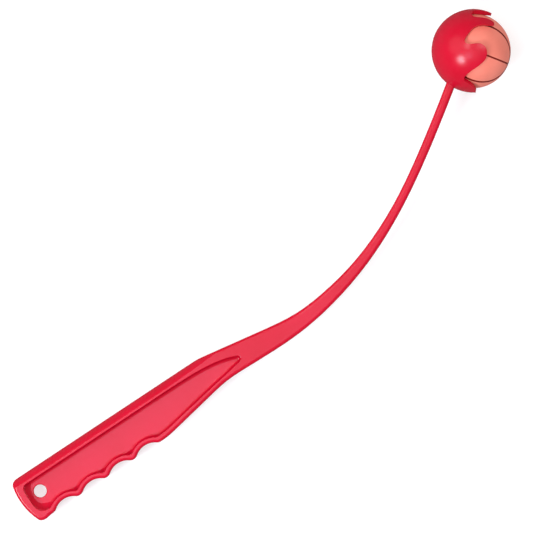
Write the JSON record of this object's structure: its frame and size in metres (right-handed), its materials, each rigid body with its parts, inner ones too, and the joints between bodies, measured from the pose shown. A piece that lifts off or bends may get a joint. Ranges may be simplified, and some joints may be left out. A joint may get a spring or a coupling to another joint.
{
  "type": "dog ball launcher",
  "caption": "Hand-held dog ball launcher: a one-piece plastic stick with a finger grip, a bowed springy arm and an open fingered cup that holds and throws a small rubber ball.",
  "frame": {"origin": "centre of the hanging hole in the grip, on the middle plane of the moulding", "axes": "+X along the grip from the butt towards the cup, +Y towards the grip's straight back edge, away from the finger scallops, +Z square to the flat of the stick, along the hanging hole"},
  "size_m": [0.5144, 0.1521, 0.065],
  "materials": {
    "red_plastic": "semi-gloss moulded",
    "ball_rubber": "smooth matt",
    "seam_rubber": "matt"
  },
  "bodies": {
    "launcher": {"launcher": "red_plastic"},
    "ball": {"ball": "ball_rubber", "ball_seams": "seam_rubber"}
  },
  "joints": [
    {"name": "ball_release", "type": "slide", "parent": "launcher", "child": "ball", "axis": [0.7096, -0.7046, 0], "range_m": [0, 0.04]}
  ]
}
